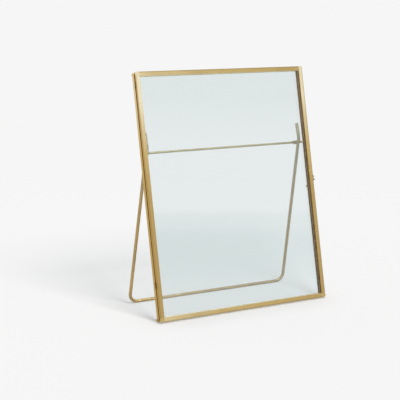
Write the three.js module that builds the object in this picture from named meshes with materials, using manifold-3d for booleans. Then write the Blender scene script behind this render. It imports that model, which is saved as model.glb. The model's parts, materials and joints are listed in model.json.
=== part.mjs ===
// Standing photo frame: two glazed brass leaves, hinged like a book, on a folding wire stand.
// Millimetres, +Z up. Origin at the middle of its footprint on the table.
// The frame faces -Y and leans back towards +Y, with the stand open and the leaves closed.
import * as THREE from 'three';
import { mergeVertices } from 'three/addons/utils/BufferGeometryUtils.js';
import Module from 'manifold-3d';

const wasm = await Module();
wasm.setup();
const degree = Math.PI / 180;

// Leaves
const leafWidth = 198;
const leafHeight = 250;
const rimFace = 4.7;
const edgeRound = 0.45;
const photoGap = 1.8;
const paneBevel = 0.25;
const frontStripWall = 0.3;
const frontPaneThick = 1;
const frontCornerRound = 1.2;
const backStripWall = 0.6;
const backPaneThick = 2.8;
const backCornerRound = 3.2;

// Clearances
const panePlay = 0.3;
const seatGap = 0.3;
const runGap = 0.3;
const mitreGap = 0.3;
const stopGap = 0.3;

// Facets of the round forms
const cornerSteps = 5;
const edgeSteps = 3;
const bendSteps = 8;
const wireSteps = 8;
const domeSteps = 3;

// Hinges, one near each end of the left side
const upperHingeDrop = 13;
const lowerHingeRise = 37;
const hingePinRadius = 0.35;
const hingePinHeadRadius = 0.8;
const hingePinHeadHeight = 0.5;
const knuckleWall = 0.35;
const knuckleLength = 2.1;
const knuckleTabThick = 0.5;
const knuckleTabReach = 3.4;

// Swing hook on the right side
const hookHeight = 127.2;
const hookLift = 30 * degree;
const hookThick = 0.6;
const hookPinRadius = 0.7;
const hookEyeWall = 0.8;
const hookArmHeight = 1.9;
const hookLipDrop = 1.3;
const hookLipWidth = 1;
const hookTailLength = 14;
const hookTailHeight = 1.7;
const hookTailTipRadius = 1.25;
const pinHeadRadius = 1.25;
const pinHeadHeight = 0.75;

// Crossbar across the back
const crossbarHeight = 169.3;
const crossbarRadius = 1.2;
const crossbarBend = 3.2;
const crossbarFootInset = 3.5;

// Stand
const leanAngle = 12.4 * degree;
const standAngle = 24.4 * degree;
const standWireRadius = 1.7;
const kneeRise = 4;
const kneeBend = 8;
const stopEndLength = 16.5;
const stopEndTilt = 4.8 * degree;
const legInset = 8.3;
const footSplay = 4.7;
const footBend = 9;
const sleeveWall = 0.5;
const sleeveLength = 5;

// What follows from the sizes above. Depth runs back from the front face of the front leaf.
const frontLeaf = leafBuild('front', 0, frontStripWall, frontPaneThick, frontCornerRound);
const backLeaf = leafBuild(
  'back', frontLeaf.depth + photoGap, backStripWall, backPaneThick, backCornerRound,
);
const frameDepth = backLeaf.front + backLeaf.depth;
const halfWidth = leafWidth / 2;
const backPaneRear = backLeaf.front + backLeaf.paneInset + backPaneThick;

const hingeDepth = frontLeaf.depth + photoGap / 2;
const knuckleBore = hingePinRadius + runGap;
const knuckleRadius = knuckleBore + knuckleWall;
const hingeOut = Math.sqrt((knuckleRadius + runGap) ** 2 - (photoGap / 2) ** 2);
const hingeX = -halfWidth - hingeOut;
const hingeSpan = 2 * knuckleLength + 3 * runGap;

const hookPivotDepth = backLeaf.front + backLeaf.depth / 2;
const hookStudDepth = frontLeaf.depth / 2;
const hookReach = hookPivotDepth - hookStudDepth;
const hookInner = halfWidth + runGap;
const hookOuter = hookInner + hookThick;

const sleeveBore = crossbarRadius + runGap;
const sleeveRadius = sleeveBore + sleeveWall;
const legOffset = sleeveRadius + seatGap + standWireRadius;
const legTopX = halfWidth - legInset;
const legFootX = legTopX + footSplay;
const restLift = (frameDepth - edgeRound) * Math.sin(leanAngle) + edgeRound * (1 - Math.cos(leanAngle));
const kneeHeight = crossbarHeight + kneeRise;

// Knees of the stand bear on the back pane, and the crossbar lies behind the legs
const kneeSetback = kneeBend
  * (Math.cos((standAngle - stopEndTilt) / 2) / Math.cos((standAngle + stopEndTilt) / 2) - 1);
const kneeDepth = backPaneRear + stopGap + standWireRadius - kneeSetback;
const kneeToCrossing = (kneeRise + legOffset * Math.sin(standAngle)) / Math.cos(standAngle);
const crossbarDepth = kneeDepth + legOffset * Math.cos(standAngle) + kneeToCrossing * Math.sin(standAngle);

// The foot of the stand lies on the table, where the legs reach it from the knees
const kneeDrop = kneeHeight * Math.cos(leanAngle) - kneeDepth * Math.sin(leanAngle)
  + restLift - standWireRadius;
const legRun = kneeDrop / Math.cos(standAngle - leanAngle);
const footDepth = kneeDepth + legRun * Math.sin(standAngle);
const footHeight = kneeHeight - legRun * Math.cos(standAngle);
const footRear = footDepth * Math.cos(leanAngle) + footHeight * Math.sin(leanAngle) + standWireRadius;
const frontEdge = edgeRound * (Math.cos(leanAngle) + Math.sin(leanAngle) - 1);

const brass = new THREE.MeshStandardMaterial({ color: 0xc6a35a, roughness: 0.38, metalness: 1 });
const wireBrass = new THREE.MeshStandardMaterial({ color: 0xb3924c, roughness: 0.45, metalness: 1 });
const clearGlass = new THREE.MeshStandardMaterial({
  color: 0xdde9e6, roughness: 0.04, metalness: 0, transparent: true, opacity: 0.3,
});

// Measures of one leaf: where it starts, its strip and pane, and how deep they make it
function leafBuild(name, front, stripWall, paneThick, cornerRound) {
  const paneInset = stripWall + panePlay;
  const depth = paneThick + 2 * paneInset;
  return { name, front, depth, stripWall, paneInset, paneThick, cornerRound };
}

// Geometry as a closed solid that can be cut and joined
function toSolid(geometry) {
  const bare = geometry.clone();
  bare.deleteAttribute('normal');
  bare.deleteAttribute('uv');
  const merged = mergeVertices(bare, 1e-4);
  return new wasm.Manifold(new wasm.Mesh({
    numProp: 3,
    vertProperties: new Float32Array(merged.attributes.position.array),
    triVerts: new Uint32Array(merged.index.array),
  }));
}

// Solid back to geometry
function toGeometry(solid) {
  const mesh = solid.getMesh();
  const geometry = new THREE.BufferGeometry();
  geometry.setAttribute('position', new THREE.BufferAttribute(mesh.vertProperties, 3));
  geometry.setIndex(new THREE.BufferAttribute(mesh.triVerts, 1));
  const faceted = geometry.toNonIndexed();
  faceted.computeVertexNormals();
  return faceted;
}

// Rectangle with its corners rounded, drawn from its lower left corner
function roundedRectangle(left, bottom, width, height, radius) {
  const right = left + width;
  const top = bottom + height;
  const shape = new THREE.Shape();
  shape.moveTo(left + radius, bottom);
  shape.lineTo(right - radius, bottom);
  shape.absarc(right - radius, bottom + radius, radius, -Math.PI / 2, 0, false);
  shape.lineTo(right, top - radius);
  shape.absarc(right - radius, top - radius, radius, 0, Math.PI / 2, false);
  shape.lineTo(left + radius, top);
  shape.absarc(left + radius, top - radius, radius, Math.PI / 2, Math.PI, false);
  shape.lineTo(left, bottom + radius);
  shape.absarc(left + radius, bottom + radius, radius, Math.PI, Math.PI * 1.5, false);
  return shape;
}

// Outline in the plane of the leaf made into a plate, its edges rounded, its front at a given depth
function plateInLeaf(shape, front, thickness, round, roundSteps) {
  const geometry = new THREE.ExtrudeGeometry(shape, {
    depth: thickness - 2 * round,
    curveSegments: cornerSteps,
    bevelEnabled: round > 0,
    bevelThickness: round,
    bevelSize: round,
    bevelOffset: -round,
    bevelSegments: roundSteps,
  });
  geometry.rotateX(Math.PI / 2);
  geometry.translate(0, front + thickness - round, 0);
  return geometry;
}

// Outline of a leaf drawn in by a margin all round, its corners concentric with the leaf's
function leafOutline(leaf, margin) {
  const radius = Math.max(leaf.cornerRound - margin, leaf.stripWall / 2);
  return roundedRectangle(
    -halfWidth + margin, margin, leafWidth - 2 * margin, leafHeight - 2 * margin, radius,
  );
}

// Channel strip all round a leaf: a rim with rounded edges and a pocket for the pane
function channelRing(leaf) {
  const { front, depth, stripWall } = leaf;
  const rim = leafOutline(leaf, 0);
  const sight = new THREE.Path();
  sight.moveTo(-halfWidth + rimFace, rimFace);
  sight.lineTo(-halfWidth + rimFace, leafHeight - rimFace);
  sight.lineTo(halfWidth - rimFace, leafHeight - rimFace);
  sight.lineTo(halfWidth - rimFace, rimFace);
  sight.closePath();
  rim.holes.push(sight);
  const ring = toSolid(plateInLeaf(rim, front, depth, edgeRound, edgeSteps));
  const pocket = toSolid(plateInLeaf(
    leafOutline(leaf, stripWall), front + stripWall, depth - 2 * stripWall, 0, 1,
  ));
  return ring.subtract(pocket);
}

// One side of the ring, mitred at both ends: along a side of some length, turned about its middle
function mitredSide(ring, leaf, length, middle, turn) {
  const half = length / 2;
  const trim = mitreGap / Math.SQRT2;
  const over = 1;
  const inner = rimFace + over;
  const shape = new THREE.Shape();
  shape.moveTo(-half - over + trim, -over);
  shape.lineTo(half + over - trim, -over);
  shape.lineTo(half - inner - trim, inner);
  shape.lineTo(-half + inner + trim, inner);
  shape.closePath();
  const wedge = plateInLeaf(shape, leaf.front - over, leaf.depth + 2 * over, 0, 1);
  wedge.rotateY(-turn);
  wedge.translate(middle.x, 0, middle.y);
  return toGeometry(ring.intersect(toSolid(wedge)));
}

// Four strips of one leaf, named after it
function leafStrips(leaf) {
  const ring = channelRing(leaf);
  const sides = [
    ['bottom_rail', leafWidth, new THREE.Vector2(0, 0), 0],
    ['right_stile', leafHeight, new THREE.Vector2(halfWidth, leafHeight / 2), Math.PI / 2],
    ['top_rail', leafWidth, new THREE.Vector2(0, leafHeight), Math.PI],
    ['left_stile', leafHeight, new THREE.Vector2(-halfWidth, leafHeight / 2), -Math.PI / 2],
  ];
  return sides.map(([side, length, middle, turn]) => {
    const strip = mitredSide(ring, leaf, length, middle, turn);
    return namedMesh(`${leaf.name}_${side}`, strip, brass);
  });
}

// Pane of glass that floats in the channel, its corners nipped to clear the strip
function leafPane(leaf) {
  const outline = leafOutline(leaf, leaf.paneInset);
  const pane = plateInLeaf(outline, leaf.front + leaf.paneInset, leaf.paneThick, paneBevel, 1);
  return namedMesh(`${leaf.name}_pane`, pane, clearGlass);
}

// Knuckle curled from sheet round the hinge pin, its tab lying on one leaf inside the photo gap.
// Side is -1 for the front leaf and 1 for the back leaf.
function hingeKnuckle(name, bottom, side) {
  const tabOuter = photoGap / 2 - seatGap;
  const tabInner = tabOuter - knuckleTabThick;
  const tabEnd = hingeOut + knuckleTabReach;
  const shape = new THREE.Shape();
  shape.moveTo(tabEnd, tabInner);
  shape.lineTo(tabEnd, tabOuter);
  shape.absarc(0, 0, knuckleRadius, Math.asin(tabOuter / knuckleRadius),
    Math.PI * 2 + Math.asin(tabInner / knuckleRadius), false);
  shape.closePath();
  const bore = new THREE.Path();
  bore.absarc(0, 0, knuckleBore, 0, Math.PI * 2, true);
  shape.holes.push(bore);
  const knuckle = new THREE.ExtrudeGeometry(shape, {
    depth: knuckleLength, curveSegments: wireSteps, bevelEnabled: false,
  });
  const mesh = namedMesh(name, knuckle, brass);
  mesh.position.set(hingeX, hingeDepth, bottom);
  if (side < 0) {
    mesh.rotation.x = Math.PI;
    mesh.position.z = bottom + knuckleLength;
  }
  return mesh;
}

// Profile of a low domed head, from the edge of its flat seat over the rim to the crown
function headProfile(radius, height) {
  const rim = height / 3;
  const points = [new THREE.Vector2(radius, 0)];
  for (let k = domeSteps; k >= 0; k -= 1) {
    const angle = Math.PI / 2 * k / domeSteps;
    points.push(new THREE.Vector2(
      radius * Math.sin(angle), rim + (height - rim) * Math.cos(angle),
    ));
  }
  return points;
}

// Hinge pin with a head at each end
function hingePin(name, bottom) {
  const head = headProfile(hingePinHeadRadius, hingePinHeadHeight);
  const profile = [
    ...head.map((point) => new THREE.Vector2(point.x, -point.y)).reverse(),
    new THREE.Vector2(hingePinRadius, 0),
    new THREE.Vector2(hingePinRadius, hingeSpan),
    ...head.map((point) => new THREE.Vector2(point.x, hingeSpan + point.y)),
  ];
  const pin = new THREE.LatheGeometry(profile, 2 * wireSteps);
  pin.rotateX(Math.PI / 2);
  const mesh = namedMesh(name, pin, brass);
  mesh.position.set(hingeX, hingeDepth, bottom);
  return mesh;
}

// Hinge in three pieces: back knuckle below, front knuckle above, pin through both
function hinge(place, middle) {
  const bottom = middle - hingeSpan / 2;
  return [
    hingePin(`${place}_hinge_pin`, bottom),
    hingeKnuckle(`${place}_hinge_back_knuckle`, bottom + runGap, 1),
    hingeKnuckle(`${place}_hinge_front_knuckle`, bottom + knuckleLength + 2 * runGap, -1),
  ];
}

// Pin that stands out from the right side of a leaf, its head outside the hook
function sidePin(name, depth) {
  const reach = hookOuter + runGap - halfWidth - seatGap;
  const profile = [
    new THREE.Vector2(0, -reach),
    new THREE.Vector2(hookPinRadius, -reach),
    new THREE.Vector2(hookPinRadius, 0),
    ...headProfile(pinHeadRadius, pinHeadHeight),
  ];
  const pin = new THREE.LatheGeometry(profile, 2 * wireSteps);
  pin.rotateZ(-Math.PI / 2);
  const mesh = namedMesh(name, pin, brass);
  mesh.position.set(hookOuter + runGap, depth, hookHeight);
  return mesh;
}

// Flat hook about its pivot: eye, arm with an open notch over the stud, and a finger tail behind.
// Drawn closed, seen from the right side with the front of the frame to the left.
function swingHook() {
  const eye = hookPinRadius + runGap;
  const eyeRadius = eye + hookEyeWall;
  const notch = hookPinRadius + runGap;
  const armTop = notch + hookArmHeight / 2;
  const lipBack = -hookReach - notch;
  const lipFront = lipBack - hookLipWidth;
  const tailHalf = hookTailHeight / 2;
  const tipX = hookTailLength - hookTailTipRadius;
  const tipMeet = Math.asin(tailHalf / hookTailTipRadius);
  const eyeMeet = Math.asin(tailHalf / eyeRadius);
  const shape = new THREE.Shape();
  shape.moveTo(lipFront, -hookLipDrop);
  shape.lineTo(lipBack, -hookLipDrop);
  shape.lineTo(lipBack, 0);
  shape.absarc(-hookReach, 0, notch, Math.PI, 0, true);
  shape.lineTo(-hookReach + notch, -tailHalf);
  shape.absarc(0, 0, eyeRadius, Math.PI + eyeMeet, Math.PI * 2 - eyeMeet, false);
  shape.absarc(tipX, 0, hookTailTipRadius, Math.PI + tipMeet, Math.PI * 3 - tipMeet, false);
  shape.absarc(0, 0, eyeRadius, eyeMeet, Math.PI / 2, false);
  shape.lineTo(-hookReach + notch, armTop);
  shape.lineTo(lipBack, armTop);
  shape.absarc(lipBack, armTop - hookLipWidth, hookLipWidth, Math.PI / 2, Math.PI, false);
  shape.closePath();
  const hole = new THREE.Path();
  hole.absarc(0, 0, eye, 0, Math.PI * 2, true);
  shape.holes.push(hole);
  const plate = new THREE.ExtrudeGeometry(shape, {
    depth: hookThick, curveSegments: wireSteps, bevelEnabled: false,
  });
  const across = new THREE.Vector3(0, 1, 0);
  const up = new THREE.Vector3(0, 0, 1);
  const out = new THREE.Vector3(1, 0, 0);
  plate.applyMatrix4(new THREE.Matrix4().makeBasis(across, up, out));
  const mesh = namedMesh('latch_hook', plate, brass);
  mesh.position.set(hookInner, hookPivotDepth, hookHeight);
  mesh.rotation.x = -hookLift;
  return mesh;
}

// Centre line of a bent wire: straight runs with an arc of its own radius at each inner corner.
// A right-angled bend has the full number of steps.
function bentRoute(corners, radii) {
  const stations = [corners[0]];
  for (let i = 1; i < corners.length - 1; i += 1) {
    const corner = corners[i];
    const back = corners[i - 1].clone().sub(corner).normalize();
    const ahead = corners[i + 1].clone().sub(corner).normalize();
    const halfTurn = (Math.PI - back.angleTo(ahead)) / 2;
    const bisector = back.clone().add(ahead).normalize();
    const centre = corner.clone().addScaledVector(bisector, radii[i - 1] / Math.cos(halfTurn));
    const tangent = ahead.clone().sub(back).normalize();
    const steps = Math.max(2, Math.round(bendSteps * halfTurn / (Math.PI / 4)));
    for (let k = 0; k <= steps; k += 1) {
      const angle = halfTurn * (2 * k / steps - 1);
      stations.push(centre.clone()
        .addScaledVector(bisector, -radii[i - 1] * Math.cos(angle))
        .addScaledVector(tangent, radii[i - 1] * Math.sin(angle)));
    }
  }
  stations.push(corners[corners.length - 1]);
  return stations;
}

// Route through given stations, sampled exactly at them
class StationRoute extends THREE.Curve {
  constructor(stations) {
    super();
    this.stations = stations;
  }

  getPoint(t) {
    const place = t * (this.stations.length - 1);
    const index = Math.min(Math.floor(place), this.stations.length - 2);
    return this.stations[index].clone().lerp(this.stations[index + 1], place - index);
  }

  getUtoTmapping(u) {
    return u;
  }
}

// Round wire swept along a bent route
function bentWire(corners, radii, wireRadius) {
  const stations = bentRoute(corners, radii);
  const section = new THREE.Shape();
  section.absarc(0, 0, wireRadius, 0, Math.PI * 2, false);
  return new THREE.ExtrudeGeometry(section, {
    steps: stations.length - 1,
    curveSegments: wireSteps,
    bevelEnabled: false,
    extrudePath: new StationRoute(stations),
  });
}

// Crossbar: its cranked ends stand on the backs of the stiles and hold it clear of the legs
function crossbar() {
  const footX = halfWidth - crossbarFootInset;
  const seatDepth = frameDepth + seatGap;
  const corners = [
    new THREE.Vector3(-footX, seatDepth, crossbarHeight),
    new THREE.Vector3(-footX, crossbarDepth, crossbarHeight),
    new THREE.Vector3(footX, crossbarDepth, crossbarHeight),
    new THREE.Vector3(footX, seatDepth, crossbarHeight),
  ];
  const wire = bentWire(corners, [crossbarBend, crossbarBend], crossbarRadius);
  return namedMesh('crossbar', wire, wireBrass);
}

// Stand: one wire from stop end to stop end. It kneels on the back pane, crosses in front of the
// sleeves, splays down to the table and runs along it between two rounded feet.
function standWire() {
  const endDepth = kneeDepth + stopEndLength * Math.sin(stopEndTilt);
  const endHeight = kneeHeight + stopEndLength * Math.cos(stopEndTilt);
  const corners = [
    new THREE.Vector3(-legTopX, endDepth, endHeight),
    new THREE.Vector3(-legTopX, kneeDepth, kneeHeight),
    new THREE.Vector3(-legFootX, footDepth, footHeight),
    new THREE.Vector3(legFootX, footDepth, footHeight),
    new THREE.Vector3(legTopX, kneeDepth, kneeHeight),
    new THREE.Vector3(legTopX, endDepth, endHeight),
  ];
  const wire = bentWire(corners, [kneeBend, footBend, footBend, kneeBend], standWireRadius);
  return namedMesh('stand_wire', wire, wireBrass);
}

// Sleeve that turns on the crossbar, kept in by the bend of its cranked end
function standSleeve(side, sign) {
  const outerX = halfWidth - crossbarFootInset - crossbarBend - runGap;
  const profile = [
    new THREE.Vector2(sleeveBore, -sleeveLength / 2),
    new THREE.Vector2(sleeveRadius, -sleeveLength / 2),
    new THREE.Vector2(sleeveRadius, sleeveLength / 2),
    new THREE.Vector2(sleeveBore, sleeveLength / 2),
    new THREE.Vector2(sleeveBore, -sleeveLength / 2),
  ];
  const tube = new THREE.LatheGeometry(profile, 3 * wireSteps);
  tube.rotateZ(Math.PI / 2);
  const mesh = namedMesh(`${side}_sleeve`, tube, wireBrass);
  mesh.position.set(sign * (outerX - sleeveLength / 2), crossbarDepth, crossbarHeight);
  return mesh;
}

function namedMesh(name, geometry, material) {
  const mesh = new THREE.Mesh(geometry, material);
  mesh.name = name;
  return mesh;
}

// The leaves and the stand are placed in the frame's own plane, which leans back over the table,
// with the middle of the footprint at the origin
const photoFrame = new THREE.Group();
photoFrame.rotation.x = -leanAngle;
photoFrame.position.set(0, -(frontEdge + footRear) / 2, restLift);
photoFrame.add(...leafStrips(frontLeaf), leafPane(frontLeaf));
photoFrame.add(...leafStrips(backLeaf), leafPane(backLeaf));
photoFrame.add(...hinge('upper', leafHeight - upperHingeDrop), ...hinge('lower', lowerHingeRise));
photoFrame.add(sidePin('latch_rivet', hookPivotDepth), sidePin('latch_stud', hookStudDepth));
photoFrame.add(swingHook(), crossbar(), standWire());
photoFrame.add(standSleeve('left', -1), standSleeve('right', 1));

export default photoFrame;
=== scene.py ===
import json
from math import asin, atan2, cos, degrees, pi, radians, sin, sqrt

import bmesh
import bpy
from mathutils import Matrix, Vector, noise


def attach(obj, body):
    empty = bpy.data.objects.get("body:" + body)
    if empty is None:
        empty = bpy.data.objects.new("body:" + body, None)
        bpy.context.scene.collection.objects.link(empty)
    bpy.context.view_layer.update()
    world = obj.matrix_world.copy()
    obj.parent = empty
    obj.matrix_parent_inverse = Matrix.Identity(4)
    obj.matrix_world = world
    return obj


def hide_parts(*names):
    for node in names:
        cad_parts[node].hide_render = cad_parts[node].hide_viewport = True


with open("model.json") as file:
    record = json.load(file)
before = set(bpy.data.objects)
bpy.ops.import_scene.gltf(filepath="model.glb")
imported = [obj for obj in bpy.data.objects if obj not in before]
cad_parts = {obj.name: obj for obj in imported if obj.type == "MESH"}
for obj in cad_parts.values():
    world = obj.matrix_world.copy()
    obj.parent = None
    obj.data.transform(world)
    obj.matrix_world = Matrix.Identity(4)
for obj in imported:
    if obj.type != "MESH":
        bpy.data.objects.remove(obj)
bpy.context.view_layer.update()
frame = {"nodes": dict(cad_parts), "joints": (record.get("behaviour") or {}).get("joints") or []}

# Standing photo frame in brass and glass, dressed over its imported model.
# Pieces are drawn in millimetres in the leaf's own axes: across, depth behind the front face, rise.

mm = 0.001
scene = bpy.context.scene

# The leaf leans back over the table, and its hinge pins give the lean
hingeAxis = -Vector(next(j for j in frame["joints"] if j["name"] == "leaf_open")["axis"])
leafLean = atan2(hingeAxis.y, hingeAxis.z)
leafTurn = Matrix.Rotation(-leafLean, 4, "X")


def lowInLeaf(node):
    spots = [leafTurn.transposed() @ v.co for v in frame["nodes"][node].data.vertices]
    return min(s.y for s in spots), min(s.z for s in spots)


frontFace, leafFoot = lowInLeaf("front_bottom_rail")
toRow = leafTurn @ Matrix.Translation((0, frontFace, leafFoot)) @ Matrix.Scale(mm, 4)
print("leaf axes found, lean", round(degrees(leafLean), 2))


# Helper that wires the nodes of one finish
class Nodes:
    def __init__(self, name, tree=None):
        if tree is None:
            self.material = bpy.data.materials.new(name)
            self.material.use_nodes = True
            tree = self.material.node_tree
        self.tree = tree
        tree.nodes.clear()

    def fill(self, socket, value):
        if isinstance(value, bpy.types.NodeSocket):
            self.tree.links.new(value, socket)
        else:
            socket.default_value = value

    def add(self, kind, inputs=None, **settings):
        node = self.tree.nodes.new(kind)
        for key, value in settings.items():
            setattr(node, key, value)
        for key, value in (inputs or {}).items():
            self.fill(node.inputs[key], value)
        return node

    def maths(self, operation, a, b):
        return self.add("ShaderNodeMath", {0: a, 1: b}, operation=operation).outputs[0]

    def spread(self, value, fromLow, fromHigh, toLow, toHigh):
        return self.add("ShaderNodeMapRange", {
            "Value": value, "From Min": fromLow, "From Max": fromHigh,
            "To Min": toLow, "To Max": toHigh,
        }).outputs[0]

    def vectorMaths(self, operation, a, b=(0, 0, 0)):
        return self.add("ShaderNodeVectorMath", {0: a, 1: b}, operation=operation).outputs["Value"]

    def noise(self, place, scale, detail, rough=0.5):
        return self.add("ShaderNodeTexNoise", {
            "Vector": place, "Scale": scale, "Detail": detail, "Roughness": rough,
        }).outputs[0]

    def mixColours(self, share, first, second):
        node = self.add("ShaderNodeMix", data_type="RGBA")
        for key, value in ((0, share), (6, first), (7, second)):
            self.fill(node.inputs[key], value)
        return node.outputs[2]

    def ramp(self, value, stops):
        node = self.add("ShaderNodeValToRGB", {0: value})
        for _ in stops[2:]:
            node.color_ramp.elements.new(1.0)
        for element, (place, colour) in zip(node.color_ramp.elements, stops):
            element.position = place
            element.color = colour
        return node.outputs[0]

    def leafPlace(self):
        # place in the leaf's own axes, in metres
        place = self.add("ShaderNodeTexCoord").outputs["Object"]
        return self.add(
            "ShaderNodeVectorRotate", {"Vector": place, "Angle": leafLean}, rotation_type="X_AXIS",
        ).outputs[0]


def brassFinish(name, finish):
    n = Nodes(name)
    place = n.leafPlace()
    axes = n.add("ShaderNodeSeparateXYZ", {0: place})
    streaks = n.add("ShaderNodeMapping", {"Vector": place, "Scale": finish["streak"]}).outputs[0]
    grain = n.noise(streaks, 1.0, 3.0, 0.6)
    patches = n.noise(place, finish["patchScale"], 2.0)
    specks = n.noise(place, finish["speckScale"], 3.0, 0.7)
    edge = n.add("ShaderNodeAttribute", attribute_name="edge").outputs["Fac"]
    paintedLight = n.add("ShaderNodeAttribute", attribute_name="paintedLight").outputs["Fac"]

    # the tones along each piece carry painted highlights and reflections
    start, end = finish["span"]
    along = n.spread(axes.outputs[finish["along"]], start * mm, end * mm, 0, 1)
    tone = n.ramp(along, finish["tones"])
    patched = n.mixColours(
        n.spread(patches, *finish["patchBand"], 0, finish["patchDepth"]), tone, finish["dull"],
    )
    grained = n.mixColours(
        n.spread(grain, *finish["grainBand"], 0, finish["grainDepth"]), patched, finish["deep"],
    )
    spotted = n.mixColours(
        n.spread(specks, *finish["speckBand"], 0, finish["tarnish"]), grained, finish["deep"],
    )
    # painted light by the lips: a pale highlight on the rails, shade on the stiles, the panes' grey
    # reflection on the wire
    lipped = n.mixColours(n.maths("MULTIPLY", paintedLight, finish["paintedLightShare"]), spotted, finish["lip"])
    edged = n.mixColours(n.maths("MULTIPLY", edge, finish["edgeShare"]), lipped, finish["edge"])

    rough = n.spread(grain, *finish["roughBand"], finish["roughLow"], finish["roughHigh"])
    rough = n.maths("ADD", rough, n.spread(patches, *finish["grainBand"], *finish["patchRough"]))
    rough = n.maths("SUBTRACT", rough, n.maths("MULTIPLY", edge, finish["edgeShine"]))
    grooves = n.add("ShaderNodeBump", {
        "Height": grain, "Strength": 1.0, "Distance": finish["grooveDepth"] * mm,
    }).outputs[0]
    dents = n.add("ShaderNodeBump", {
        "Height": n.noise(place, finish["waveScale"], 1.0), "Normal": grooves,
        "Strength": 1.0, "Distance": finish["waveDepth"] * mm,
    }).outputs[0]
    shader = n.add("ShaderNodeBsdfPrincipled", {
        "Base Color": edged, "Metallic": 1.0, "Roughness": rough, "Normal": dents,
    })
    n.add("ShaderNodeOutputMaterial", {"Surface": shader.outputs[0]})
    return n.material


# Bands are where in a noise's 0 to 1 a mark starts and is full; lengths are in millimetres
brass = {
    "along": 0,  # axis that the tones run along: 0 across, 2 up
    "span": (-99, 99),
    # painted reflection: the rails turn paler towards the left
    "tones": [
        (0.0, (0.84, 0.70, 0.40, 1)), (0.2, (0.72, 0.57, 0.29, 1)),
        (0.5, (0.64, 0.48, 0.20, 1)), (1.0, (0.57, 0.42, 0.17, 1)),
    ],
    "dull": (0.44, 0.30, 0.11, 1),
    "patchScale": 45.0,
    "patchBand": (0.35, 0.65),
    "patchDepth": 0.3,
    "patchRough": (-0.03, 0.05),
    "deep": (0.27, 0.17, 0.06, 1),
    "streak": (45, 1500, 1500),  # brushed grain, drawn out along the strip
    "grainBand": (0.3, 0.7),
    "grainDepth": 0.22,
    "grooveDepth": 0.012,
    "speckScale": 520.0,
    "speckBand": (0.62, 0.74),
    "tarnish": 0.3,
    "lip": (0.95, 0.88, 0.66, 1),  # painted highlight: pale on the rails' lips by the glass and on what faces the other leaf
    "paintedLightShare": 1.0,
    "edge": (0.30, 0.20, 0.07, 1),  # darker along the outer bends
    "edgeShare": 0.6,
    "edgeShine": 0.06,
    "roughBand": (0.25, 0.75),
    "roughLow": 0.22,
    "roughHigh": 0.34,
    "waveScale": 70.0,  # hand-made waviness
    "waveDepth": 0.12,
}
railBrass = brassFinish("brushed brass rail", brass)
stileBrass = brassFinish("brushed brass stile", {
    **brass,
    "along": 2,
    "span": (0, 250),
    # painted highlight: the stiles turn paler up to near white at the top
    "tones": [
        (0.0, (0.53, 0.375, 0.15, 1)), (0.42, (0.55, 0.39, 0.15, 1)),
        (0.64, (0.71, 0.53, 0.23, 1)), (0.86, (1.0, 0.89, 0.61, 1)),
    ],
    # painted shade: dark on the stiles' lips, the front leaf's side and in the gap between the leaves
    "lip": (0.52, 0.31, 0.06, 1),
    "edgeShare": 0.5,
    "streak": (1500, 1500, 45),
})
fittingBrass = brassFinish("brass fitting", {
    **brass,
    "along": 2,
    "span": (0, 250),
    # painted highlight: the fittings turn paler higher up
    "tones": [
        (0.0, (0.52, 0.38, 0.15, 1)), (0.3, (0.55, 0.40, 0.16, 1)),
        (0.5, (0.72, 0.60, 0.36, 1)), (0.95, (0.86, 0.74, 0.47, 1)),
    ],
    "roughLow": 0.2,
    "roughHigh": 0.3,
    "streak": (900, 900, 900),
})
wireBrass = brassFinish("drawn brass wire", {
    **brass,
    # painted reflection of the panes: the wire turns greyer towards the right
    "tones": [
        (0.0, (0.50, 0.345, 0.145, 1)), (0.12, (0.57, 0.43, 0.21, 1)),
        (0.6, (0.44, 0.35, 0.19, 1)), (1.0, (0.39, 0.31, 0.165, 1)),
    ],
    "dull": (0.33, 0.25, 0.12, 1),
    # painted reflection of the panes: the grey that the legs take high up
    "lip": (0.35, 0.31, 0.19, 1),
    "roughLow": 0.3,
    "roughHigh": 0.42,
    "streak": (700, 700, 120),
})
barBrass = brassFinish("pale brass wire", {
    **brass,
    "tones": [(0.0, (0.50, 0.45, 0.26, 1)), (1.0, (0.48, 0.42, 0.23, 1))],
    "dull": (0.38, 0.32, 0.17, 1),
    "roughLow": 0.3,
    "roughHigh": 0.42,
    "streak": (120, 700, 700),
})
solderMetal = brassFinish("brass solder", {
    **brass,
    "along": 2,
    "span": (0, 250),
    # painted highlight: the solder turns paler higher up
    "tones": [(0.0, (0.60, 0.46, 0.21, 1)), (0.5, (0.72, 0.60, 0.36, 1)), (1.0, (0.92, 0.81, 0.58, 1))],
    "dull": (0.55, 0.43, 0.23, 1),
    "roughLow": 0.32,
    "roughHigh": 0.48,
    "waveScale": 600.0,
    "waveDepth": 0.1,
    "streak": (900, 900, 900),
})

glass = {
    "tint": (0.925, 0.950, 0.952, 1),
    "shadowTint": (0.927, 0.941, 0.941, 1),
    "bending": 1.5,
    "wipe": (1.0, 1.0, 0.35),  # smears are drawn out up the pane
    "smearScale": 28.0,
    "smearBand": (0.5, 0.75),
    "smearRough": 0.03,
    "rippleScale": 12.0,
    "rippleDepth": 0.02,
}


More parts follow.
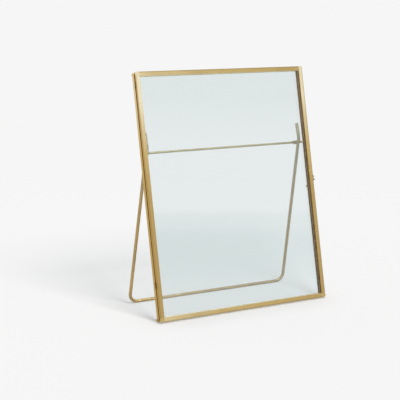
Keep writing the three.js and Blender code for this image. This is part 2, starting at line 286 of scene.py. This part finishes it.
def glassFinish():
    n = Nodes("clear glass")
    place = n.leafPlace()
    wiped = n.add("ShaderNodeMapping", {"Vector": place, "Scale": glass["wipe"]}).outputs[0]
    smear = n.noise(wiped, glass["smearScale"], 4.0, 0.6)
    ripple = n.add("ShaderNodeBump", {
        "Height": n.noise(place, glass["rippleScale"], 1.0),
        "Strength": 1.0, "Distance": glass["rippleDepth"] * mm,
    }).outputs[0]
    pane = n.add("ShaderNodeBsdfPrincipled", {
        "Base Color": glass["tint"], "Transmission Weight": 1.0, "IOR": glass["bending"],
        "Roughness": n.spread(smear, *glass["smearBand"], 0.0, glass["smearRough"]), "Normal": ripple,
    })
    clear = n.add("ShaderNodeBsdfTransparent", {"Color": glass["shadowTint"]})
    path = n.add("ShaderNodeLightPath")
    # light on its way to the floor goes straight through
    lit = n.maths("MAXIMUM", path.outputs["Is Shadow Ray"], path.outputs["Is Diffuse Ray"])
    both = n.add("ShaderNodeMixShader", {0: lit, 1: pane.outputs[0], 2: clear.outputs[0]})
    n.add("ShaderNodeOutputMaterial", {"Surface": both.outputs[0]})
    return n.material


clearGlass = glassFinish()
print("finishes made")


# Mesh helpers
def addPiece(name, bm, material, body, nodes=(), sharp=35):
    bmesh.ops.recalc_face_normals(bm, faces=bm.faces)
    mesh = bpy.data.meshes.new(name)
    bm.to_mesh(mesh)
    bm.free()
    mesh.transform(toRow)
    mesh.materials.append(material)
    mesh.shade_smooth()
    mesh.set_sharp_from_angle(angle=radians(sharp))
    piece = bpy.data.objects.new(name, mesh)
    scene.collection.objects.link(piece)
    even = piece.modifiers.new("even shading", "WEIGHTED_NORMAL")
    even.keep_sharp = True
    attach(piece, body)
    if nodes:
        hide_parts(*nodes)


def arc(centre, radius, start, end, steps):
    angles = [radians(start + (end - start) * k / steps) for k in range(steps + 1)]
    return [Vector((centre[0] + radius * cos(a), centre[1] + radius * sin(a))) for a in angles]


def joinRings(bm, rings):
    # quads between rings that hold equal numbers of vertices
    for one, two in zip(rings, rings[1:]):
        for i in range(len(one)):
            j = (i + 1) % len(one)
            bm.faces.new([one[i], one[j], two[j], two[i]])


def tidyMesh(bm, distance=0.0005):
    bmesh.ops.remove_doubles(bm, verts=bm.verts, dist=distance)
    bmesh.ops.dissolve_degenerate(bm, edges=bm.edges, dist=distance)


# Solder and braze: half sizes across, deep and high
solder = {
    "uneven": 0.22,
    "bumps": 1.7,
    "corner": (2.7, 0.16, 2.3),
    "cornerInset": 2.2,
    "barFoot": (1.9, 0.9, 2.6),
    "barFootLift": 0.1,
    "sleeve": (2.2, 0.46, 1.9),
    "tab": (1.5, 0.22, 1.2),
    "tabInset": 1.0,
    "tabLift": 0.12,
}


def lump(bm, centre, size, seed, turn=None):
    for v in bmesh.ops.create_icosphere(bm, subdivisions=3, radius=1.0)["verts"]:
        start = Vector((seed, seed * 0.7, 3.1))  # each seed has its own bumps
        wobble = 1 + solder["uneven"] * noise.noise(v.co * solder["bumps"] + start)
        spot = Vector((v.co.x * size[0], v.co.y * size[1], v.co.z * size[2])) * wobble
        if turn is not None:
            spot = turn @ spot
        v.co = spot + Vector(centre)


# Glazed leaves
leaf = {
    "width": 198.0,
    "height": 250.0,
    "rimFace": 4.7,  # width of the strip's face
    "foldRound": 0.45,
    "innerRound": 0.12,
    "crown": 0.07,  # how far the faces bow out
    "webCrown": 0.04,
    "seam": 0.05,  # half the line between two mitres
    "edgeWide": 1.0,
    "webBand": 0.2,
    "webPaintedLight": 0.45,  # how much of the painted light colour the back leaf's side has
    "panePlay": 0.3,
    "paneBevel": 0.25,
    "photoGap": 1.8,
}
halfWidth = leaf["width"] / 2


def leafBuild(name, start, wall, pane, corner):
    inset = wall + leaf["panePlay"]
    return {
        "name": name, "start": start, "wall": wall, "pane": pane, "corner": corner,
        "inset": inset, "depth": pane + 2 * inset,
    }


frontLeaf = leafBuild("front", 0.0, 0.3, 1.0, 1.2)
backLeaf = leafBuild("back", frontLeaf["depth"] + leaf["photoGap"], 0.6, 2.8, 3.2)
frameDepth = backLeaf["start"] + backLeaf["depth"]


def channelProfile(deep, wall):
    # folded strip seen from its end: x is the distance in from the rim, y the depth
    wide, fold, inner, lip = leaf["rimFace"], leaf["foldRound"], leaf["innerRound"], wall / 3
    crown, webCrown = leaf["crown"], leaf["webCrown"]
    faceSteps, webSteps = 8, 6

    def crowned(start, end, level, side):
        shares = [k / faceSteps for k in range(1, faceSteps)]
        return [
            Vector((start + (end - start) * u, level + side * crown * (2 * u - 1) ** 2)) for u in shares
        ]

    def bowed(start, end):
        shares = [k / webSteps for k in range(1, webSteps)]
        return [Vector((webCrown * (2 * u - 1) ** 2, start + (end - start) * u)) for u in shares]

    loop = crowned(fold, wide - lip, 0, 1)
    loop += arc((wide - lip, lip + crown), lip, -90, 0, 3)
    loop += arc((wide - lip, wall - lip), lip, 0, 90, 3)
    loop += arc((wall + inner, wall + inner), inner, 270, 180, 3)
    loop += arc((wall + inner, deep - wall - inner), inner, 180, 90, 3)
    loop += arc((wide - lip, deep - wall + lip), lip, -90, 0, 3)
    loop += arc((wide - lip, deep - lip - crown), lip, 0, 90, 3)
    loop += crowned(wide - lip, fold, deep, -1)
    loop += arc((fold + webCrown, deep - fold - crown), fold, 90, 180, 5)
    loop += bowed(deep - fold - crown, fold + crown)
    loop += arc((fold + webCrown, fold + crown), fold, 180, 270, 5)
    return loop


def edgeAt(point):
    # full on the outer bends of the strip, fading out across its face, and none on its side
    if point.x <= leaf["webBand"]:
        return 0.0
    return 1 - min(max((point.x - leaf["foldRound"]) / leaf["edgeWide"], 0), 1)


def paintedLightAt(point, build):
    # where light or shade is painted: 1 on the lips, the front leaf's side and the back leaf's face towards
    # the gap, 0 on the outside
    onSide = point.x < leaf["webBand"]
    if point.x > leaf["rimFace"] - build["wall"] / 4:
        return 1.0
    if build["name"] == "front":
        return 1.0 if onSide else 0.0
    if point.y < build["wall"] / 2:
        return 1.0
    return leaf["webPaintedLight"] if onSide else 0.0


def stripPoint(point, half, corner, phi):
    # where a profile point lies at a station round half a corner
    if point.x >= corner:
        return half - point.x, point.x
    reach = corner - point.x
    return half - corner + reach * sin(phi), corner - reach * cos(phi)


def stripPiece(build, side, cornerSteps=6):
    length, middle, along, inward = {
        "bottom_rail": (leaf["width"], (0, 0), (1, 0), (0, 1)),
        "right_stile": (leaf["height"], (halfWidth, leaf["height"] / 2), (0, 1), (-1, 0)),
        "top_rail": (leaf["width"], (0, leaf["height"]), (-1, 0), (0, -1)),
        "left_stile": (leaf["height"], (-halfWidth, leaf["height"] / 2), (0, -1), (1, 0)),
    }[side]
    middle, along, inward = Vector(middle), Vector(along), Vector(inward)
    half = length / 2 - leaf["seam"]
    bm = bmesh.new()
    edge = bm.verts.layers.float.new("edge")
    paintedLight = bm.verts.layers.float.new("paintedLight")
    phis = [pi / 4 * k / cornerSteps for k in range(cornerSteps + 1)]
    rings = []
    for sign, phi in [(-1, phi) for phi in reversed(phis)] + [(1, phi) for phi in phis]:
        ring = []
        for point in channelProfile(build["depth"], build["wall"]):
            reach, inset = stripPoint(point, half, build["corner"], phi)
            spot = middle + along * sign * reach + inward * inset
            vert = bm.verts.new((spot.x, build["start"] + point.y, spot.y))
            vert[edge] = edgeAt(point)
            vert[paintedLight] = paintedLightAt(point, build)
            ring.append(vert)
        rings.append(ring)
    joinRings(bm, rings)
    bm.faces.new(rings[0])
    bm.faces.new(rings[-1])
    tidyMesh(bm)
    node = f"{build['name']}_{side}"
    finish = railBrass if "rail" in side else stileBrass
    addPiece(f"{node}_channel", bm, finish, f"{build['name']}_leaf", [node])


def roundedOutline(margin, corner, steps=6):
    radius = max(corner - margin, 0.3)
    wide = halfWidth - margin - radius
    low, high = margin + radius, leaf["height"] - margin - radius
    centres = [(wide, low), (wide, high), (-wide, high), (-wide, low)]
    points = []
    for k, centre in enumerate(centres):
        points += arc(centre, radius, 90 * k - 90, 90 * k, steps)
    return points


def panePiece(build):
    # ground edges and flat faces
    bm = bmesh.new()
    bevel, thick = leaf["paneBevel"], build["pane"]
    rings = []
    for narrow, depth in [(bevel, 0), (0, bevel), (0, thick - bevel), (bevel, thick)]:
        outline = roundedOutline(build["inset"] + narrow, build["corner"])
        rings.append([bm.verts.new((p.x, build["start"] + build["inset"] + depth, p.y)) for p in outline])
    joinRings(bm, rings)
    bm.faces.new(rings[0])
    bm.faces.new(rings[-1])
    name = build["name"]
    addPiece(f"{name}_glass", bm, clearGlass, f"{name}_leaf", [f"{name}_pane"], sharp=20)


def cornerSolder(build, level):
    # a smoothed pad of solder over each mitre
    bm = bmesh.new()
    inset = solder["cornerInset"]
    places = [(sign, rise) for sign in (-1, 1) for rise in (inset, leaf["height"] - inset)]
    for seed, (sign, rise) in enumerate(places):
        lump(bm, (sign * (halfWidth - inset), level, rise), solder["corner"], seed + level)
    name = build["name"]
    addPiece(f"{name}_corner_solder", bm, solderMetal, f"{name}_leaf")


for build, level in ((frontLeaf, leaf["crown"]), (backLeaf, frameDepth - leaf["crown"])):
    for side in ("bottom_rail", "right_stile", "top_rail", "left_stile"):
        stripPiece(build, side)
    panePiece(build)
    cornerSolder(build, level)
print("leaves made")


# Turned pieces and bent wire
def lathePiece(name, profile, origin, axis, steps, material, body, nodes):
    # profile points are (radius, place along the axis), in a closed line or one that ends on the axis
    bm = bmesh.new()
    rings = []
    for k in range(steps):
        angle = 2 * pi * k / steps
        ring = []
        for p in profile:
            across, up = p[0] * cos(angle), p[0] * sin(angle)
            spot = (p[1], across, up) if axis == "x" else (across, up, p[1])
            ring.append(bm.verts.new(Vector(spot) + Vector(origin)))
        rings.append(ring)
    joinRings(bm, rings + rings[:1])
    tidyMesh(bm)
    addPiece(name, bm, material, body, nodes)


def bentRoute(corners, radii, steps=18):
    stations = [Vector(corners[0])]
    for i in range(1, len(corners) - 1):
        corner = Vector(corners[i])
        back = (Vector(corners[i - 1]) - corner).normalized()
        ahead = (Vector(corners[i + 1]) - corner).normalized()
        halfTurn = (pi - back.angle(ahead)) / 2
        bisector = (back + ahead).normalized()
        centre = corner + bisector * radii[i - 1] / cos(halfTurn)
        tangent = (ahead - back).normalized()
        count = max(4, round(steps * halfTurn / (pi / 4)))
        for k in range(count + 1):
            angle = halfTurn * (2 * k / count - 1)
            turned = tangent * sin(angle) - bisector * cos(angle)
            stations.append(centre + turned * radii[i - 1])
    stations.append(Vector(corners[-1]))
    return stations


def wireMesh(bm, stations, radius, tip, duller=None, ringSteps=24, domeSteps=5):
    # round wire whose two ends are rounded off inside its own length
    paintedLight = bm.verts.layers.float.new("paintedLight")
    sections = []
    across = (stations[1] - stations[0]).orthogonal().normalized()
    for i, place in enumerate(stations):
        before, after = stations[max(i - 1, 0)], stations[min(i + 1, len(stations) - 1)]
        tangent = (after - before).normalized()
        across = (across - tangent * across.dot(tangent)).normalized()
        sections.append((place, tangent, across.copy(), radius))

    def dome(section, sign):
        place, tangent, side, _ = section
        rounds = []
        for k in range(domeSteps + 1):
            angle = pi / 2 * k / domeSteps
            back = tip * (1 - cos(angle))
            rounds.append((place + tangent * sign * back, tangent, side, radius - tip + tip * sin(angle)))
        return rounds

    sections = dome(sections[0], 1) + sections[1:-1] + list(reversed(dome(sections[-1], -1)))
    rings = []
    for place, tangent, side, wide in sections:
        other = tangent.cross(side)
        angles = [2 * pi * k / ringSteps for k in range(ringSteps)]
        rings.append([bm.verts.new(place + (side * cos(a) + other * sin(a)) * wide) for a in angles])
        for vert in rings[-1]:
            vert[paintedLight] = duller(place) if duller else 0.0
    joinRings(bm, rings)
    bm.faces.new(rings[0])
    bm.faces.new(rings[-1])


# Stand and crossbar
stand = {
    "lean": radians(24.4),  # of the legs, from the leaf
    "wire": 1.7,  # radius
    "tip": 1.0,  # rounding of the wire's cut ends
    "kneeRise": 4.0,
    "kneeBend": 8.0,
    "endLength": 16.5,
    "endTilt": radians(4.8),
    "legInset": 8.3,
    "footSplay": 4.7,
    "footBend": 9.0,
    "stopGap": 0.3,
    "duller": (120, 30),  # painted reflection of the panes: the legs turn grey from this rise, over this much of it
    "sleeveBore": 1.5,
    "sleeveRadius": 2.0,
    "sleeveLength": 5.0,
    "sleeveGap": 0.3,
    "sleeveRound": 0.18,
}
bar = {"height": 169.3, "wire": 1.2, "tip": 0.25, "bend": 3.2, "footInset": 3.5, "footSeat": 0.05}

# The legs lean away from the pane below their knees, pass the crossbar's sleeves and meet the table
legLean, endTilt = stand["lean"], stand["endTilt"]
backPaneRear = backLeaf["start"] + backLeaf["inset"] + backLeaf["pane"]
legOffset = stand["sleeveRadius"] + stand["sleeveGap"] + stand["wire"]
legTopX = halfWidth - stand["legInset"]
legFootX = legTopX + stand["footSplay"]
kneeHeight = bar["height"] + stand["kneeRise"]
kneeSetback = stand["kneeBend"] * (cos((legLean - endTilt) / 2) / cos((legLean + endTilt) / 2) - 1)
kneeDepth = backPaneRear + stand["stopGap"] + stand["wire"] - kneeSetback
kneeToCrossing = (stand["kneeRise"] + legOffset * sin(legLean)) / cos(legLean)
barDepth = kneeDepth + legOffset * cos(legLean) + kneeToCrossing * sin(legLean)
fold = leaf["foldRound"]
restLift = (frameDepth - fold) * sin(leafLean) + fold * (1 - cos(leafLean))
kneeDrop = kneeHeight * cos(leafLean) - kneeDepth * sin(leafLean) + restLift - stand["wire"]
legRun = kneeDrop / cos(legLean - leafLean)
footDepth = kneeDepth + legRun * sin(legLean)
footHeight = kneeHeight - legRun * cos(legLean)
endDepth = kneeDepth + stand["endLength"] * sin(endTilt)
endHeight = kneeHeight + stand["endLength"] * cos(endTilt)


def denser(stations, step=8.0):
    # extra stations along the straight runs
    route = [stations[0]]
    for place in stations[1:]:
        count = max(1, round((place - route[-1]).length / step))
        start = route[-1]
        route += [start.lerp(place, k / count) for k in range(1, count + 1)]
    return route


# share of the painted reflection of the panes at a place on the legs
def dullerAt(place):
    start, over = stand["duller"]
    return min(max((place.z - start) / over, 0), 1)


def wirePiece(name, sizes, half, bends, material, body, node, duller=None):
    # the route is drawn for the left half and mirrored
    corners = half + [(-x, depth, rise) for x, depth, rise in reversed(half)]
    route = denser(bentRoute(corners, bends + bends[::-1]))
    bm = bmesh.new()
    wireMesh(bm, route, sizes["wire"], sizes["tip"], duller)
    addPiece(name, bm, material, body, [node])


leg = [
    (-legTopX, endDepth, endHeight),
    (-legTopX, kneeDepth, kneeHeight),
    (-legFootX, footDepth, footHeight),
]
legBends = [stand["kneeBend"], stand["footBend"]]
wirePiece("stand_bent_wire", stand, leg, legBends, wireBrass, "stand", "stand_wire", dullerAt)

barFootX = halfWidth - bar["footInset"]
crank = [
    (-barFootX, frameDepth + bar["footSeat"], bar["height"]),
    (-barFootX, barDepth, bar["height"]),
]
wirePiece("crossbar_wire", bar, crank, [bar["bend"]], barBrass, "back_leaf", "crossbar")

bm = bmesh.new()
for seed, sign in ((1, -1), (2, 1)):
    lump(bm, (sign * barFootX, frameDepth + solder["barFootLift"], bar["height"]), solder["barFoot"], seed)
addPiece("crossbar_solder", bm, solderMetal, "back_leaf")


def sleevePiece(side, sign):
    outer = barFootX - bar["bend"] - stand["sleeveGap"]
    half, bore, outside = stand["sleeveLength"] / 2, stand["sleeveBore"], stand["sleeveRadius"]
    edge = stand["sleeveRound"]
    profile = arc((bore + edge, -half + edge), edge, 180, 270, 3)
    profile += arc((outside - edge, -half + edge), edge, -90, 0, 3)
    profile += arc((outside - edge, half - edge), edge, 0, 90, 3)
    profile += arc((bore + edge, half - edge), edge, 90, 180, 3)
    centre = (sign * (outer - half), barDepth, bar["height"])
    lathePiece(
        f"{side}_turning_sleeve", profile, centre, "x", 40,
        barBrass, "stand", [f"{side}_sleeve"],
    )
    # braze between the sleeve and the leg that crosses in front of it
    legX = sign * (legTopX + stand["footSplay"] * kneeToCrossing / legRun)
    crossing = Vector((
        legX, kneeDepth + kneeToCrossing * sin(legLean), kneeHeight - kneeToCrossing * cos(legLean),
    ))
    towards = (Vector((legX, barDepth, bar["height"])) - crossing).normalized()
    bm = bmesh.new()
    lump(
        bm, crossing + towards * (stand["wire"] + stand["sleeveGap"] / 2), solder["sleeve"], 5 + sign,
        Matrix.Rotation(legLean, 3, "X"),
    )
    addPiece(f"{side}_sleeve_braze", bm, barBrass, "stand")


sleevePiece("left", -1)
sleevePiece("right", 1)
print("stand and crossbar made")


# Hinges
hinge = {
    "upper": leaf["height"] - 13.0,  # rise of each hinge's middle
    "lower": 37.0,
    "pin": 0.35,  # radius
    "headRadius": 0.8,
    "headHeight": 0.5,
    "wall": 0.35,
    "length": 2.1,
    "tabThick": 0.5,
    "tabReach": 3.4,
    "bevel": 0.08,
    "gap": 0.3,
}
knuckleBore = hinge["pin"] + hinge["gap"]
knuckleRadius = knuckleBore + hinge["wall"]
hingeOut = sqrt((knuckleRadius + hinge["gap"]) ** 2 - (leaf["photoGap"] / 2) ** 2)
hingeX = -halfWidth - hingeOut
hingeDepth = frontLeaf["depth"] + leaf["photoGap"] / 2
hingeSpan = 2 * hinge["length"] + 3 * hinge["gap"]


def headProfile(radius, height, steps=6):
    # low dome from its rim to its crown
    rim = height / 3
    angles = [pi / 2 * k / steps for k in range(steps, -1, -1)]
    return [Vector((radius, 0))] + [Vector((radius * sin(a), rim + (height - rim) * cos(a))) for a in angles]


def insetOutline(points, inset):
    # each corner moved inwards along its two sides' bisector; the outline runs anticlockwise
    moved = []
    for i, p in enumerate(points):
        before = (p - points[i - 1]).normalized()
        after = (points[(i + 1) % len(points)] - p).normalized()
        one, two = Vector((-before.y, before.x)), Vector((-after.y, after.x))
        bisector = (one + two).normalized()
        moved.append(p + bisector * inset / max(bisector.dot(one), 0.5))
    return moved


def roundHole(radius):
    # points every 10 degrees
    return arc((0, 0), radius, 0, 350, 35)


def outlinePiece(name, outline, hole, low, high, place, bevel, body, node):
    # flat outline with a round hole, made into a plate with softened edges
    bm = bmesh.new()
    outer, inner = [], []
    for inset, level in [(bevel, low), (0, low + bevel), (0, high - bevel), (bevel, high)]:
        outer.append([bm.verts.new(place(p.x, p.y, level)) for p in insetOutline(outline, inset)])
        inner.append([bm.verts.new(place(p.x, p.y, level)) for p in insetOutline(hole, -inset)])
    joinRings(bm, outer)
    joinRings(bm, inner)
    for k in (0, -1):
        edges = []
        for ring in (outer[k], inner[k]):
            edges += [bm.edges.get((a, b)) for a, b in zip(ring, ring[1:] + ring[:1])]
        bmesh.ops.triangle_fill(bm, edges=edges, use_beauty=True)
    tidyMesh(bm)
    addPiece(name, bm, fittingBrass, body, [node])


def knuckleOutline():
    tabOuter = leaf["photoGap"] / 2 - hinge["gap"]
    tabInner = tabOuter - hinge["tabThick"]
    tabEnd = hingeOut + hinge["tabReach"]
    start = degrees(asin(tabOuter / knuckleRadius))
    end = 360 + degrees(asin(tabInner / knuckleRadius))
    curl = arc((0, 0), knuckleRadius, start, end, 36)
    return [Vector((tabEnd, tabInner)), Vector((tabEnd, tabOuter))] + curl


def hingePieces(name):
    bottom = hinge[name] - hingeSpan / 2
    head = headProfile(hinge["headRadius"], hinge["headHeight"])
    profile = [Vector((p.x, -p.y)) for p in reversed(head)]
    profile += [Vector((hinge["pin"], 0)), Vector((hinge["pin"], hingeSpan))]
    profile += [Vector((p.x, hingeSpan + p.y)) for p in head]
    lathePiece(
        f"{name}_hinge_headed_pin", profile, (hingeX, hingeDepth, bottom), "z", 28,
        fittingBrass, "back_leaf", [f"{name}_hinge_pin"],
    )
    for leafName, side, low in (
        ("back", 1, bottom + hinge["gap"]),
        ("front", -1, bottom + hinge["length"] + 2 * hinge["gap"]),
    ):
        def place(x, y, level, side=side):
            return (hingeX + x, hingeDepth + side * y, level)

        outlinePiece(
            f"{name}_{leafName}_curled_knuckle", knuckleOutline(), roundHole(knuckleBore),
            low, low + hinge["length"], place, hinge["bevel"],
            f"{leafName}_leaf", f"{name}_hinge_{leafName}_knuckle",
        )
        bm = bmesh.new()
        seat = hingeDepth + side * (leaf["photoGap"] / 2 - hinge["gap"] + solder["tabLift"])
        centre = (hinge["tabReach"] - halfWidth - solder["tabInset"], seat, low + hinge["length"] / 2)
        lump(bm, centre, solder["tab"], side + 4)
        addPiece(f"{name}_{leafName}_tab_solder", bm, solderMetal, f"{leafName}_leaf")


hingePieces("upper")
hingePieces("lower")
print("hinges made")


# Swing hook, its rivet and its stud
hook = {
    "height": 127.2,
    "lift": radians(30.0),  # how far it is turned up off its stud
    "thick": 0.6,
    "bevel": 0.12,
    "pin": 0.7,  # radius of the rivet and the stud
    "gap": 0.3,
    "eyeWall": 0.8,
    "arm": 1.9,
    "lipDrop": 1.3,
    "lipWidth": 1.0,
    "tailLength": 14.0,
    "tail": 1.7,
    "tailTip": 1.25,
    "headRadius": 1.15,
    "headHeight": 0.45,
    "footFlare": 0.35,  # fillet where the rivet and the stud meet the stile
}
pivotDepth = backLeaf["start"] + backLeaf["depth"] / 2
studDepth = frontLeaf["depth"] / 2
hookInner = halfWidth + hook["gap"]
hookOuter = hookInner + hook["thick"]


def sidePin(name, depth, node, body):
    reach, flare = hookOuter + hook["gap"] - halfWidth, hook["footFlare"]
    profile = [Vector((0, -reach)), Vector((hook["pin"] + flare, -reach))]
    profile += [Vector((hook["pin"], -reach + flare)), Vector((hook["pin"], 0))]
    profile += headProfile(hook["headRadius"], hook["headHeight"])
    centre = (hookOuter + hook["gap"], depth, hook["height"])
    lathePiece(name, profile, centre, "x", 28, fittingBrass, body, [node])


sidePin("latch_headed_rivet", pivotDepth, "latch_rivet", "back_leaf")
sidePin("latch_headed_stud", studDepth, "latch_stud", "front_leaf")


def hookOutline():
    # closed hook about its pivot: lip, notch over the stud, eye, tail and the back of the arm
    notch = hook["pin"] + hook["gap"]
    eyeRadius = notch + hook["eyeWall"]
    reach = pivotDepth - studDepth
    armTop = notch + hook["arm"] / 2
    lipBack = -reach - notch
    tailHalf = hook["tail"] / 2
    tipX = hook["tailLength"] - hook["tailTip"]
    tipMeet = degrees(asin(tailHalf / hook["tailTip"]))
    eyeMeet = degrees(asin(tailHalf / eyeRadius))
    points = [Vector((lipBack - hook["lipWidth"], -hook["lipDrop"])), Vector((lipBack, -hook["lipDrop"]))]
    points += arc((-reach, 0), notch, 180, 0, 14)
    points += [Vector((-reach + notch, -tailHalf))]
    points += arc((0, 0), eyeRadius, 180 + eyeMeet, 360 - eyeMeet, 12)
    points += arc((tipX, 0), hook["tailTip"], 180 + tipMeet, 540 - tipMeet, 16)
    points += arc((0, 0), eyeRadius, eyeMeet, 90, 8)
    points += [Vector((-reach + notch, armTop))]
    points += arc((lipBack, armTop - hook["lipWidth"]), hook["lipWidth"], 90, 180, 6)
    return points


def hookPlace(x, y, level):
    spot = Matrix.Rotation(-hook["lift"], 3, "X") @ Vector((0, x, y))
    return (hookInner + level, pivotDepth + spot.y, hook["height"] + spot.z)


outlinePiece(
    "latch_swing_hook", hookOutline(), roundHole(hook["pin"] + hook["gap"]),
    0, hook["thick"], hookPlace, hook["bevel"], "hook", "latch_hook",
)
print("hook made")


# Floor, light and camera
studio = {
    "pale": 0.922,  # tone of the floor and the backdrop
    "lampPlace": (0.0, -0.70, 0.95),
    "lampSize": 0.22,
    "lampShare": 0.60,  # of the light on the floor under it
    "fill": 0.40,  # the room's even light
    "glint": 0.12,  # the lamp's strength in reflections
    "floorHalf": 60,
    "floorTone": 0.65,  # how much of its paleness the floor takes from the lights
    "paperScale": 900.0,
    "paperBand": (0.3, 0.7),
    "paperTone": (0.997, 1.003),
    "nearLift": 0.012,
    "evenFrom": 0.45,  # from here to evenTo the floor turns into the even backdrop
    "evenTo": 0.85,
    "shade": 0.12,  # deepest shade that what stands on the floor gives it
    "shadeFrom": 0.5,
    "shadeReach": 0.04,
    "paintedShadeTone": (0.71, 0.775, 0.765, 1),  # painted shade, seen through the glass only
    "dullWay": (0.476, 0.880, 0),  # straight back over the table, as it is looked at
    "dullAcross": (0.880, -0.476, 0),
    "tableEnd": 0.52,
    "tableDull": [
        (0, 0), (0.15, 0.32), (0.3, 0.7), (0.5, 0.88), (0.64, 0.79),
        (0.72, 0.56), (0.88, 0.46), (0.95, 0.14), (1, 0.04),
    ],
    "sideFromTo": (0.045, 0.095),
    "sideDull": 0.68,
    "farFromTo": (1.1, 2.5),
    "farDull": 0.42,
}
lampReach = Vector(studio["lampPlace"]).length


def floorFinish():
    n = Nodes("pale floor")
    place = n.add("ShaderNodeNewGeometry").outputs["Position"]
    # paler with distance from the lamp, and a glow of its own for the rest, so the floor reads even
    ratio = n.maths("DIVIDE", n.vectorMaths("DISTANCE", place, studio["lampPlace"]), lampReach)
    speckle = n.noise(place, studio["paperScale"], 2.0)
    paper = n.spread(speckle, *studio["paperBand"], *studio["paperTone"])
    tone = n.maths("MULTIPLY", n.maths("MULTIPLY", ratio, studio["floorTone"]), paper)
    lit = n.add("ShaderNodeBsdfDiffuse", {
        "Color": n.add("ShaderNodeCombineColor", {0: tone, 1: tone, 2: tone}).outputs[0],
    })
    lightHere = n.maths("ADD", studio["lampShare"], n.maths("MULTIPLY", ratio, studio["fill"]))
    nearPale = studio["pale"] + studio["nearLift"]
    rest = n.maths("SUBTRACT", nearPale, n.maths("MULTIPLY", lightHere, studio["floorTone"]))
    glow = n.add("ShaderNodeEmission", {"Strength": rest})
    near = n.add("ShaderNodeAddShader", {0: lit.outputs[0], 1: glow.outputs[0]})
    away = n.vectorMaths("LENGTH", place)
    even = n.add("ShaderNodeEmission", {"Strength": studio["pale"]})
    share = n.spread(away, studio["evenFrom"], studio["evenTo"], 0, 1)
    both = n.add("ShaderNodeMixShader", {0: share, 1: near.outputs[0], 2: even.outputs[0]})
    # what stands on the floor takes some of the room's light from it
    closed = n.add("ShaderNodeAmbientOcclusion", {"Distance": studio["shadeReach"]}).outputs["AO"]
    path = n.add("ShaderNodeLightPath").outputs["Is Transmission Ray"]
    shade = n.spread(closed, studio["shadeFrom"], 1, studio["shade"], 0)
    shade = n.maths("MULTIPLY", shade, n.maths("SUBTRACT", 1, path))
    both = n.add("ShaderNodeMixShader", {0: shade, 1: both.outputs[0]})
    # painted shade, shown through the glass only: the table's far part and what is far behind it look duller
    dull = n.add("ShaderNodeEmission", {"Color": studio["paintedShadeTone"], "Strength": 1.0})
    back = n.vectorMaths("DOT_PRODUCT", place, studio["dullWay"])
    across = n.vectorMaths("DOT_PRODUCT", place, studio["dullAcross"])
    table = n.ramp(
        n.spread(back, 0, studio["tableEnd"], 0, 1),
        [(at, (level, level, level, 1)) for at, level in studio["tableDull"]],
    )
    side = n.spread(across, *studio["sideFromTo"], 1, studio["sideDull"])
    far = n.spread(away, *studio["farFromTo"], 0, studio["farDull"])
    shown = n.maths("MULTIPLY", n.maths("MAXIMUM", n.maths("MULTIPLY", table, side), far), path)
    floorShader = n.add("ShaderNodeMixShader", {0: shown, 1: both.outputs[0], 2: dull.outputs[0]})
    n.add("ShaderNodeOutputMaterial", {"Surface": floorShader.outputs[0]})
    return n.material


floorMesh = bpy.data.meshes.new("floor")
bm = bmesh.new()
bmesh.ops.create_grid(bm, x_segments=1, y_segments=1, size=studio["floorHalf"])
bm.to_mesh(floorMesh)
bm.free()
floorMesh.materials.append(floorFinish())
floor = bpy.data.objects.new("floor", floorMesh)
scene.collection.objects.link(floor)


def softLamp(name, share):
    # a lamp of even strength: its light doesn't fall off with distance
    data = bpy.data.lights.new(name, "POINT")
    data.shadow_soft_size = studio["lampSize"]
    data.energy = 1.0
    data.use_nodes = True
    n = Nodes(name, data.node_tree)
    strength = share * pi / (studio["lampPlace"][2] / lampReach) * 4 * pi
    falloff = n.add("ShaderNodeLightFalloff", {"Strength": strength})
    glow = n.add("ShaderNodeEmission", {"Strength": falloff.outputs["Constant"]})
    n.add("ShaderNodeOutputLight", {"Surface": glow.outputs[0]})
    lamp = bpy.data.objects.new(name, data)
    lamp.location = studio["lampPlace"]
    scene.collection.objects.link(lamp)
    return lamp


softLamp("key", studio["lampShare"]).visible_glossy = False
softLamp("glint", studio["glint"]).visible_diffuse = False


def studioWorld():
    # pale where it is seen, and a weaker fill for what it lights
    world = bpy.data.worlds.new("studio")
    world.use_nodes = True
    n = Nodes("studio", world.node_tree)
    path = n.add("ShaderNodeLightPath")
    seen = n.maths("MAXIMUM", path.outputs["Is Camera Ray"], path.outputs["Is Glossy Ray"])
    seen = n.maths("MAXIMUM", seen, path.outputs["Is Transmission Ray"])
    shown = n.add("ShaderNodeBackground", {"Color": (1, 1, 1, 1), "Strength": studio["pale"]})
    fill = n.add("ShaderNodeBackground", {"Color": (1, 1, 1, 1), "Strength": studio["fill"]})
    both = n.add("ShaderNodeMixShader", {0: seen, 1: fill.outputs[0], 2: shown.outputs[0]})
    n.add("ShaderNodeOutputWorld", {"Surface": both.outputs[0]})
    return world


scene.world = studioWorld()

view = {"place": (-0.53695, -0.93291, 0.31144), "yaw": 28.412, "pitch": 10.622, "lens": 93.97}
cameraData = bpy.data.cameras.new("camera")
cameraData.sensor_fit = "HORIZONTAL"
cameraData.sensor_width = 36
cameraData.lens = view["lens"]
cameraData.clip_start = 0.01
cameraData.clip_end = 200
camera = bpy.data.objects.new("camera", cameraData)
camera.location = view["place"]
camera.rotation_euler = (radians(90 - view["pitch"]), 0, radians(-view["yaw"]))
scene.collection.objects.link(camera)
scene.camera = camera
scene.view_settings.view_transform = "Standard"
print("floor, light and camera set")

bpy.context.view_layer.update()
